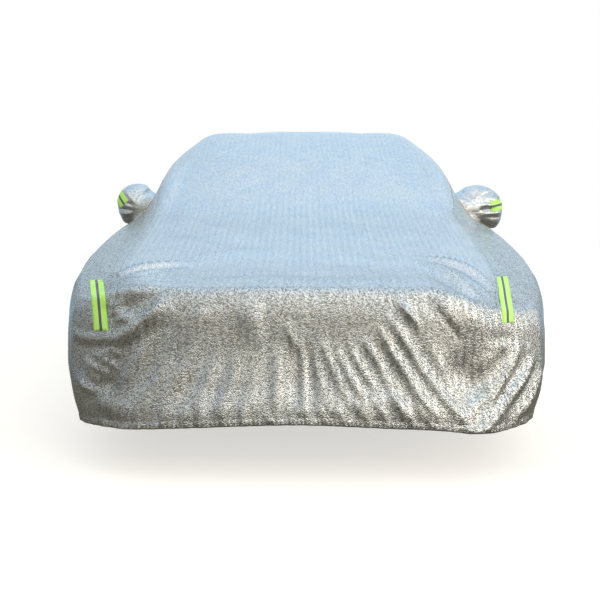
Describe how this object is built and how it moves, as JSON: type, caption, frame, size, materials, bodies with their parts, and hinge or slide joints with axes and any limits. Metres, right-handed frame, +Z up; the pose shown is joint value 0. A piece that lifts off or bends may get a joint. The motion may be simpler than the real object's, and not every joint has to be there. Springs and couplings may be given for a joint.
{
  "type": "car cover",
  "caption": "Fitted outdoor cover of silver film cloth for a saloon car, hollow and open underneath, with an elastic hem, sewn mirror pouches and reflective tapes.",
  "frame": {"origin": "on the inside of the cloth under the middle of the roof, where the cover rests on the vehicle", "axes": "+Z up, +Y from the nose to the tail, +X to the right as seen from in front"},
  "size_m": [2.0104, 4.766, 1.3172],
  "materials": {
    "silver_film": "thin woven cloth with an embossed silver metallised film, soft shine",
    "reflective_tape": "sewn retroreflective tape, fluorescent yellow-green with a grey band along its middle"
  },
  "bodies": {
    "root": {"centre_panel": "silver_film", "side_panel_left": "silver_film", "side_panel_right": "silver_film", "mirror_pocket_left": "silver_film", "mirror_pocket_right": "silver_film", "front_strip_left": "reflective_tape", "front_strip_right": "reflective_tape", "pocket_strip_left": "reflective_tape", "pocket_strip_right": "reflective_tape"}
  },
  "joints": []
}
